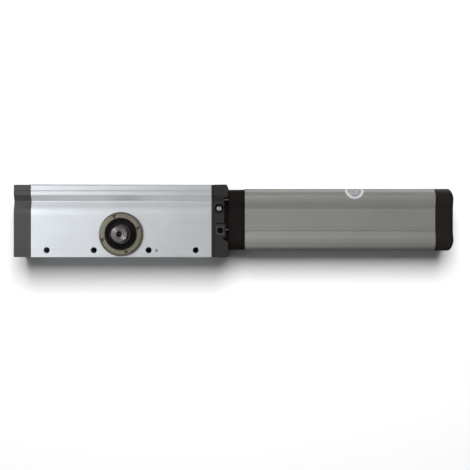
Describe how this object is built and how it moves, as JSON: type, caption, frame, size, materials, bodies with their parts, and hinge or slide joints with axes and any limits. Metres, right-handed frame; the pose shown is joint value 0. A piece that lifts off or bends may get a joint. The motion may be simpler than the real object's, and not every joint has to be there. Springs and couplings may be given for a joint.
{
  "type": "hydraulic gate operator",
  "caption": "Compact in-line hydraulic gate operator: a rack-and-pinion jack with a splined output shaft, a valve block and a grey motor and pump tank.",
  "frame": {"origin": "on the output shaft's axis, at the back mounting face", "axes": "+X along the operator towards the motor's tank, +Y across the jack towards its cylinder side, +Z along the output shaft away from the mounting face"},
  "size_m": [0.6837, 0.113, 0.11],
  "materials": {
    "anodised_aluminium": "drawn and clear anodised, satin",
    "grey_coating": "warm grey anodic coating, satin",
    "cap_plastic": "moulded, dark brown-grey, fine grain",
    "black_casting": "black finish on cast aluminium",
    "collar_plastic": "moulded, brown-black, semi-gloss",
    "machined_steel": "turned and milled, oiled",
    "zinc_plate": "bright zinc plate",
    "blackened_steel": "blackened and oiled",
    "olive_zinc": "yellow-olive passivated zinc plate",
    "bearing_bronze": "turned bronze",
    "seal_rubber": "matt black",
    "cast_iron": "as cast, machined faces",
    "copper_winding": "lacquered copper wire, laced",
    "label_film": "blank pale round film"
  },
  "bodies": {
    "operator": {"jack_body": "anodised_aluminium", "tank_housing": "grey_coating", "left_end_cap": "cap_plastic", "end_plate": "black_casting", "valve_block": "black_casting", "front_motor_shield": "black_casting", "rear_motor_shield": "black_casting", "filler_plug": "black_casting", "collar": "collar_plastic", "right_end_cap": "collar_plastic", "release_guide": "collar_plastic", "left_head": "machined_steel", "pump_plate": "machined_steel", "front_bearing": "machined_steel", "rear_bearing": "machined_steel", "duct_ball_plug": "zinc_plate", "left_head_screw_1": "zinc_plate", "left_head_screw_2": "zinc_plate", "left_head_screw_3": "zinc_plate", "left_head_screw_4": "zinc_plate", "left_cap_screw_1": "zinc_plate", "left_cap_screw_2": "zinc_plate", "valve_block_screw_1": "zinc_plate", "valve_block_screw_2": "zinc_plate", "valve_block_screw_3": "zinc_plate", "valve_block_screw_4": "zinc_plate", "pump_screw_1": "zinc_plate", "pump_screw_2": "zinc_plate", "tie_bolt_1": "zinc_plate", "tie_bolt_2": "zinc_plate", "tie_bolt_3": "zinc_plate", "tie_bolt_4": "zinc_plate", "ring_nut": "olive_zinc", "rear_bush": "bearing_bronze", "front_bush": "bearing_bronze", "suction_strainer": "bearing_bronze", "left_head_o_ring": "seal_rubber", "valve_block_o_ring": "seal_rubber", "shaft_seal": "seal_rubber", "cable_grommet": "seal_rubber", "collar_gasket": "seal_rubber", "end_cap_gasket": "seal_rubber", "pump_body": "cast_iron", "motor_stator": "cast_iron", "front_winding": "copper_winding", "rear_winding": "copper_winding", "round_label": "label_film"},
    "shaft": {"output_shaft": "machined_steel"},
    "piston": {"rack_piston": "machined_steel", "left_piston_seal": "seal_rubber", "right_piston_seal": "seal_rubber"},
    "rotor": {"pump_drive_gear": "machined_steel", "motor_coupling": "machined_steel", "motor_shaft": "machined_steel", "rotor_core": "cast_iron"},
    "idler": {"pump_idler_gear": "machined_steel"},
    "release": {"release_spindle": "blackened_steel"},
    "bleeder": {"bleed_screw": "zinc_plate"},
    "bypass_a": {"bypass_screw_1": "bearing_bronze"},
    "bypass_b": {"bypass_screw_2": "bearing_bronze"}
  },
  "joints": [
    {"name": "shaft_turn", "type": "hinge", "parent": "operator", "child": "shaft", "pos_m": [0, 0, 0.082], "axis": [0, 0, 1], "range_deg": [-90, 90]},
    {"name": "piston_slide", "type": "slide", "parent": "operator", "child": "piston", "axis": [1, 0, 0], "range_m": [-0.0425, 0.0425]},
    {"name": "motor_spin", "type": "hinge", "parent": "operator", "child": "rotor", "pos_m": [0.2693, 0.0225, 0.041], "axis": [1, 0, 0], "continuous": true},
    {"name": "pump_idler_spin", "type": "hinge", "parent": "operator", "child": "idler", "pos_m": [0.176, 0.04, 0.041], "axis": [1, 0, 0], "continuous": true},
    {"name": "release_turn", "type": "hinge", "parent": "operator", "child": "release", "pos_m": [0.1535, 0.0055, 0.06], "axis": [0, 0, 1], "range_deg": [0, 360]},
    {"name": "bleed_turn", "type": "hinge", "parent": "operator", "child": "bleeder", "pos_m": [0.152, 0.0395, 0.075], "axis": [0, 0, 1], "range_deg": [0, 360]},
    {"name": "bypass_a_turn", "type": "hinge", "parent": "operator", "child": "bypass_a", "pos_m": [0.152, 0.06, 0.025], "axis": [0, 1, 0], "range_deg": [-360, 360]},
    {"name": "bypass_b_turn", "type": "hinge", "parent": "operator", "child": "bypass_b", "pos_m": [0.152, 0.06, 0.057], "axis": [0, 1, 0], "range_deg": [-360, 360]}
  ],
  "couplings": [
    {"joint": "piston_slide", "follows": "shaft_turn", "m_per_rad": -0.027},
    {"joint": "pump_idler_spin", "follows": "motor_spin", "ratio": -1}
  ]
}
